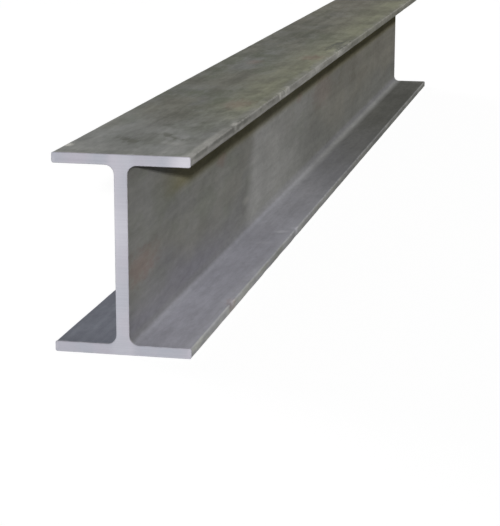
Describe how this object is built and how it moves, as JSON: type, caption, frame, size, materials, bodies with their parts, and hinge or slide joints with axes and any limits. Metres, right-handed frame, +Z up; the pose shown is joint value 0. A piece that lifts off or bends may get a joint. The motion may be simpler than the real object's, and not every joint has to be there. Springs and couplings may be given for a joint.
{
  "type": "stainless steel i-beam",
  "caption": "Straight stainless steel I-beam: one bar with a thick upright web, parallel top and bottom flanges, rounded roots and square-sawn ends.",
  "frame": {"origin": "middle of the underside of the bottom flange, at mid length", "axes": "+Y along the beam, +Z up from the bottom flange to the top flange, +X across the flanges"},
  "size_m": [0.104, 1.5, 0.15],
  "materials": {
    "stainless_steel": "dull pickled mill finish, with brighter sawn ends"
  },
  "bodies": {
    "root": {"i_beam": "stainless_steel"}
  },
  "joints": []
}
